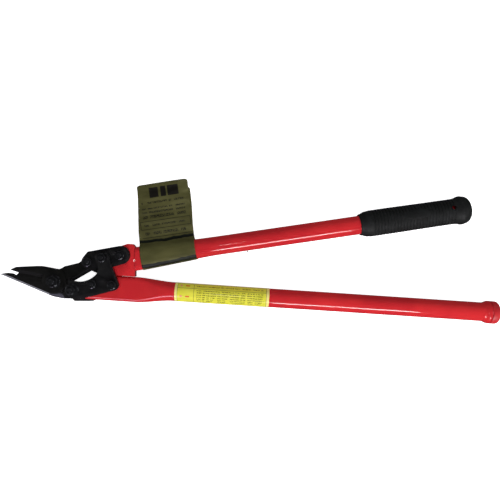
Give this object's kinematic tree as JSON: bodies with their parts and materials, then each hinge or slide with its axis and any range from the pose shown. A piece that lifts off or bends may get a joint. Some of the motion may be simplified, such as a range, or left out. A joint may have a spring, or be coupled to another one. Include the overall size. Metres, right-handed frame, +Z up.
{
  "type": "steel strap cutter",
  "caption": "Long-handled steel-strap cutter with a slotted lever blade, bolted side plates, two tube handles, a ribbed grip and a foil tag.",
  "frame": {"origin": "on the surface the tool lies on, under the middle of its outline", "axes": "+X from the jaws along the tool to the handle ends, +Y across the tool to the side of the upper (gripped) handle, +Z up through its thickness"},
  "size_m": [0.5974, 0.173, 0.0377],
  "materials": {
    "red_paint": "glossy red enamel on steel",
    "red_cap": "smooth moulded end cap",
    "black_steel": "satin black forged and pressed steel",
    "blade_steel": "blackened tool steel with ground bevels",
    "dark_fastener": "dark plated",
    "rubber": "ribbed matte black rubber",
    "foil_card": "olive gold printed foil card",
    "label": "yellow printed vinyl"
  },
  "bodies": {
    "lower_handle": {"lower_blade": "blade_steel", "side_plate_front": "black_steel", "side_plate_back": "black_steel", "filler_plate_front": "black_steel", "blade_carrier_plate": "black_steel", "lower_handle_tube": "red_paint", "lower_end_cap": "red_cap", "handle_label": "label", "tail_washer": "dark_fastener", "tail_bolt": "dark_fastener", "tail_nut": "dark_fastener", "tail_spacer": "dark_fastener", "heel_bolt": "dark_fastener", "heel_nut": "dark_fastener", "shoulder_bolt": "dark_fastener", "shoulder_nut": "dark_fastener", "fulcrum_bolt": "dark_fastener", "fulcrum_nut": "dark_fastener", "pivot_washer": "dark_fastener", "pivot_bolt": "dark_fastener", "pivot_nut": "dark_fastener"},
    "upper_handle": {"upper_head_plate": "red_paint", "upper_handle_tube": "red_paint", "rubber_grip": "rubber", "hang_tag": "foil_card", "link_bar_front": "black_steel", "link_bar_back": "black_steel", "drive_bolt": "dark_fastener", "drive_nut": "dark_fastener", "drive_spacer": "dark_fastener", "bar_bolt": "dark_fastener", "bar_nut": "dark_fastener"},
    "upper_blade": {"upper_blade": "blade_steel"}
  },
  "joints": [
    {"name": "handle_swing", "type": "hinge", "parent": "lower_handle", "child": "upper_handle", "pos_m": [-0.17069, -0.00692, 0.0171], "axis": [0, 0, 1], "range_deg": [0, 35]},
    {"name": "blade_bite", "type": "hinge", "parent": "lower_handle", "child": "upper_blade", "pos_m": [-0.22949, -0.03532, 0.0171], "axis": [0, 0, 1], "range_deg": [-13, 0]}
  ],
  "couplings": [
    {"joint": "blade_bite", "follows": "handle_swing", "ratio": -0.37}
  ]
}
